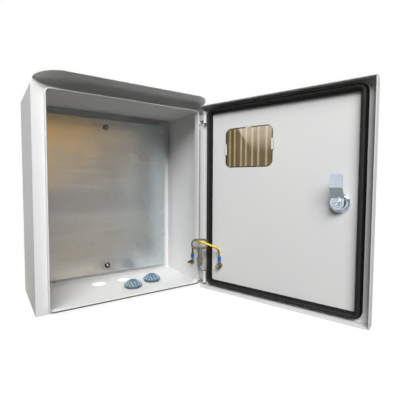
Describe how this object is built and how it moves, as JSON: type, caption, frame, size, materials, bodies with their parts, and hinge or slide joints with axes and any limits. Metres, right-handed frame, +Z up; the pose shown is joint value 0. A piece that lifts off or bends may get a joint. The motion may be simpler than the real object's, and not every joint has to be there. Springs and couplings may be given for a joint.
{
  "type": "electrical distribution box",
  "caption": "Wall-mounted painted sheet-steel distribution box with rain visor, mounting plate and an open hinged door with window, gasket, cam lock and earth bond.",
  "frame": {"origin": "middle of the underside of the box, on the surface it stands on", "axes": "+Z up, -Y to the open front, +X to the hinge side"},
  "size_m": [0.4542, 0.5189, 0.4155],
  "materials": {
    "grey_paint": "fine-textured light grey powder coat",
    "plate_steel": "galvanised sheet, dull",
    "zinc": "bright zinc plate",
    "chrome": "chromed die casting",
    "tinned_copper": "tinned",
    "blue_vinyl": "smooth blue vinyl",
    "wire_vinyl": "yellow vinyl with a green stripe",
    "grommet_rubber": "blue-grey moulded rubber",
    "gasket_foam": "black foam rubber",
    "smoked_pane": "bronze tinted moulded pane"
  },
  "bodies": {
    "enclosure": {"body_shell": "grey_paint", "top_panel": "grey_paint", "floor_panel": "grey_paint", "front_frame": "grey_paint", "rain_visor": "grey_paint", "mounting_plate": "plate_steel", "plate_studs": "zinc", "plate_spacers": "zinc", "plate_washers": "zinc", "plate_nuts": "zinc", "upper_hinge_leaf": "grey_paint", "lower_hinge_leaf": "grey_paint", "hinge_rivets": "grey_paint", "body_earth_stud": "zinc", "body_earth_washers": "zinc", "body_earth_nut": "zinc", "body_ring_terminal": "tinned_copper", "body_terminal_sleeve": "blue_vinyl", "left_grommet": "grommet_rubber", "right_grommet": "grommet_rubber"},
    "door": {"door_panel": "grey_paint", "door_gasket": "gasket_foam", "upper_door_leaf": "grey_paint", "lower_door_leaf": "grey_paint", "upper_hinge_pin": "zinc", "lower_hinge_pin": "zinc", "window_pane": "smoked_pane", "window_seal": "gasket_foam", "door_earth_stud": "zinc", "door_earth_washers": "zinc", "door_earth_nut": "zinc", "door_ring_terminal": "tinned_copper", "door_terminal_sleeve": "blue_vinyl", "earth_wire": "wire_vinyl", "lock_key": "zinc", "lock_barrel": "chrome", "lock_seal": "gasket_foam", "lock_washer": "zinc", "lock_nut": "zinc"},
    "lock_cam_set": {"lock_plug": "chrome", "lock_cam": "zinc", "cam_washer": "zinc", "cam_screw": "zinc"}
  },
  "joints": [
    {"name": "door_hinge", "type": "hinge", "parent": "enclosure", "child": "door", "pos_m": [0.167, -0.1035, 0.2], "axis": [0, 0, 1], "range_deg": [-108, 12], "deforming": ["earth_wire"]},
    {"name": "lock_turn", "type": "hinge", "parent": "door", "child": "lock_cam_set", "pos_m": [0.26168, -0.37451, 0.201], "axis": [0.9511, 0.309, 0], "range_deg": [0, 90]}
  ]
}
